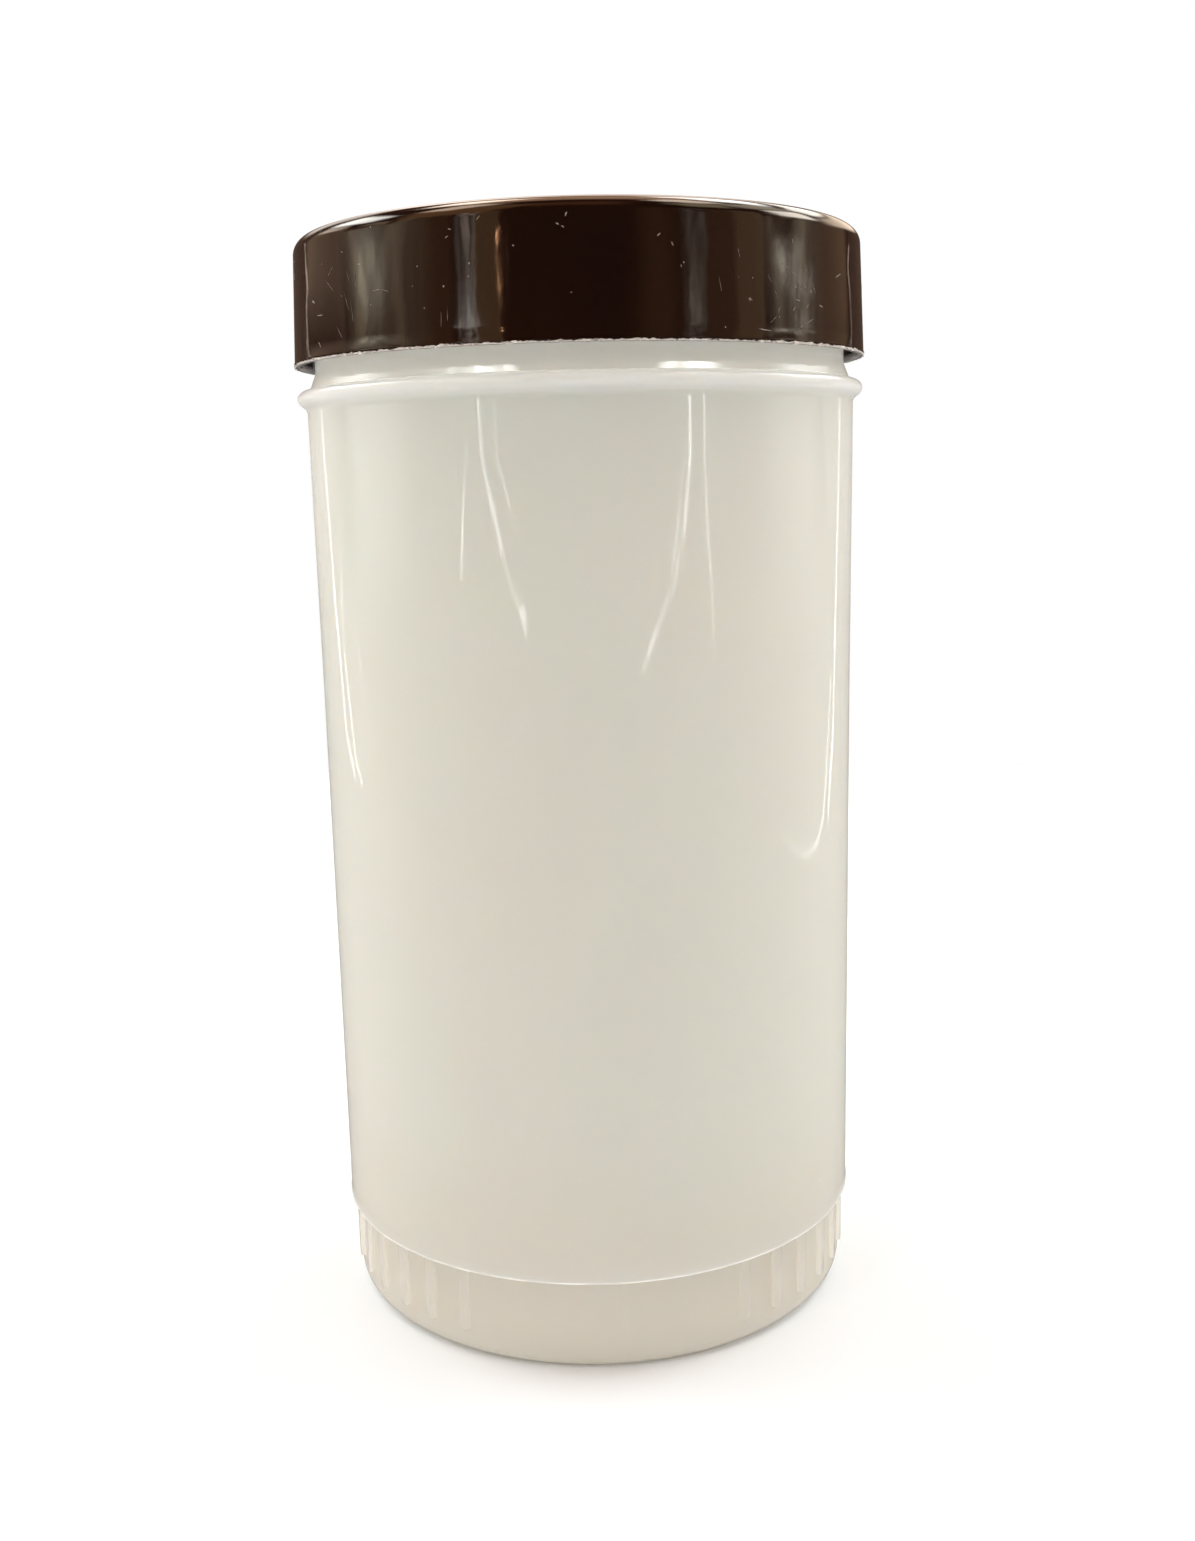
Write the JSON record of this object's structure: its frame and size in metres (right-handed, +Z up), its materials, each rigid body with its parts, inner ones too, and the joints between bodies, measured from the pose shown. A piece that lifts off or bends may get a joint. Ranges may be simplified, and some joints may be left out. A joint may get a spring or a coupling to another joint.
{
  "type": "dry food storage jar with screw lid",
  "caption": "Straight-sided round storage jar of ivory plastic for dry food, with a ribbed base band and a bead below the neck, shut with a dark brown plastic screw lid.",
  "frame": {"origin": "middle of the base, on the surface that the jar stands on", "axes": "+Z up along the jar's axis, from the base to the lid"},
  "size_m": [0.0922, 0.0922, 0.1745],
  "materials": {
    "ivory_plastic": "smooth moulded plastic, slightly see-through, ivory white, semi-gloss",
    "brown_plastic": "glossy moulded plastic, dark brown, finely scratched, with a pale chipped lower edge"
  },
  "bodies": {
    "root": {"jar": "ivory_plastic", "lid": "brown_plastic"}
  },
  "joints": []
}
